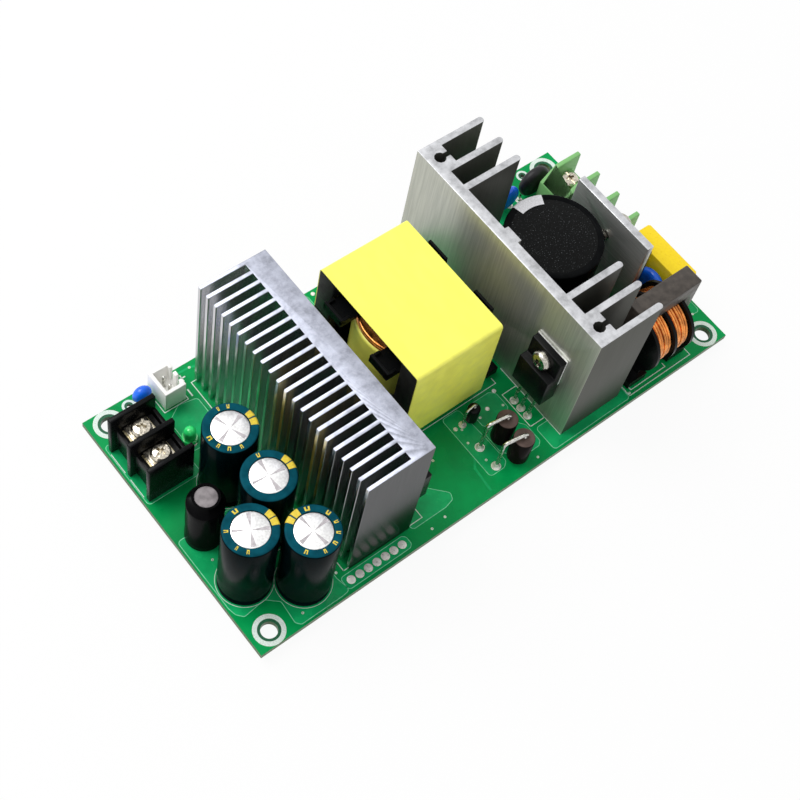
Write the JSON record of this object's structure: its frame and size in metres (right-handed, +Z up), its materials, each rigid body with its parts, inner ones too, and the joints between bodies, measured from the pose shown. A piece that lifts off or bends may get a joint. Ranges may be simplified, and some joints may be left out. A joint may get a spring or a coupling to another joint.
{
  "type": "open frame power supply",
  "caption": "Open frame AC to DC switching power supply: green circuit board with finned heat sinks, taped transformer, capacitors, choke and screw terminals.",
  "frame": {"origin": "centre of the board's underside, midway between its corner holes", "axes": "+X along the board from the output terminals to the mains terminals, +Y across it, +Z up from the board to the parts"},
  "size_m": [0.147, 0.07, 0.0436],
  "materials": {
    "board": "glossy green solder resist",
    "sink_comb": "mill finish extrusion",
    "sink_fins": "bright extrusion",
    "sink_plate": "mill finish sheet",
    "screw_steel": "zinc plated",
    "terminal_steel": "nickel plated",
    "tinned_lead": "tinned",
    "ferrite": "sintered, matt",
    "choke_ferrite": "sintered, matt",
    "inductor_ferrite": "sintered, matt",
    "bobbin_plastic": "moulded",
    "winding_copper": "enamelled copper",
    "yellow_tape": "polyester tape",
    "capacitor_sleeve": "shrunk sleeve",
    "bulk_sleeve": "shrunk sleeve",
    "inductor_sleeve": "shrunk sleeve",
    "terminal_black": "moulded",
    "terminal_green": "moulded",
    "contact_metal": "tinned brass",
    "connector_white": "moulded",
    "led_green": "clear tinted epoxy",
    "blue_epoxy": "dipped epoxy",
    "thermistor_coat": "dipped silicone",
    "box_yellow": "moulded case",
    "semiconductor_case": "moulded",
    "diode_case": "moulded",
    "fuse_case": "moulded"
  },
  "bodies": {
    "root": {"box_capacitor": "box_yellow", "bridge_rectifier": "semiconductor_case", "bridge_rectifier_leads": "tinned_lead", "bulk_capacitor": "bulk_sleeve", "bulk_capacitor_leads": "tinned_lead", "bypass_capacitor": "blue_epoxy", "choke_bobbin": "bobbin_plastic", "choke_core": "choke_ferrite", "choke_pins": "tinned_lead", "choke_windings": "winding_copper", "circuit_board": "board", "controller_chip": "semiconductor_case", "controller_chip_leads": "tinned_lead", "fan_connector_housing": "connector_white", "fan_connector_pins": "tinned_lead", "fuse": "fuse_case", "heatsink_screws": "screw_steel", "indicator_led": "led_green", "inductor_core": "inductor_ferrite", "inductor_winding": "inductor_sleeve", "input_heatsink": "sink_fins", "input_terminal_block": "terminal_green", "inrush_thermistor": "thermistor_coat", "optocoupler": "semiconductor_case", "optocoupler_leads": "tinned_lead", "output_capacitor_1": "capacitor_sleeve", "output_capacitor_2": "capacitor_sleeve", "output_capacitor_3": "capacitor_sleeve", "output_capacitor_4": "capacitor_sleeve", "output_capacitor_leads": "tinned_lead", "output_heatsink": "sink_comb", "output_rectifier_1": "semiconductor_case", "output_rectifier_2": "semiconductor_case", "output_rectifier_leads": "tinned_lead", "output_terminal_block": "terminal_black", "radial_leads": "tinned_lead", "rectifier_heatsink": "sink_plate", "safety_capacitor_far": "blue_epoxy", "safety_capacitor_near": "blue_epoxy", "standing_diode_1": "diode_case", "standing_diode_2": "diode_case", "standing_part_leads": "tinned_lead", "standing_resistor": "semiconductor_case", "switch_transistor": "semiconductor_case", "switch_transistor_leads": "tinned_lead", "terminal_clamps": "terminal_steel", "terminal_contacts": "contact_metal", "terminal_screws": "terminal_steel", "transformer_bobbin": "bobbin_plastic", "transformer_core_lower": "ferrite", "transformer_core_upper": "ferrite", "transformer_pins": "tinned_lead", "transformer_tape": "yellow_tape", "transformer_winding": "winding_copper"}
  },
  "joints": []
}
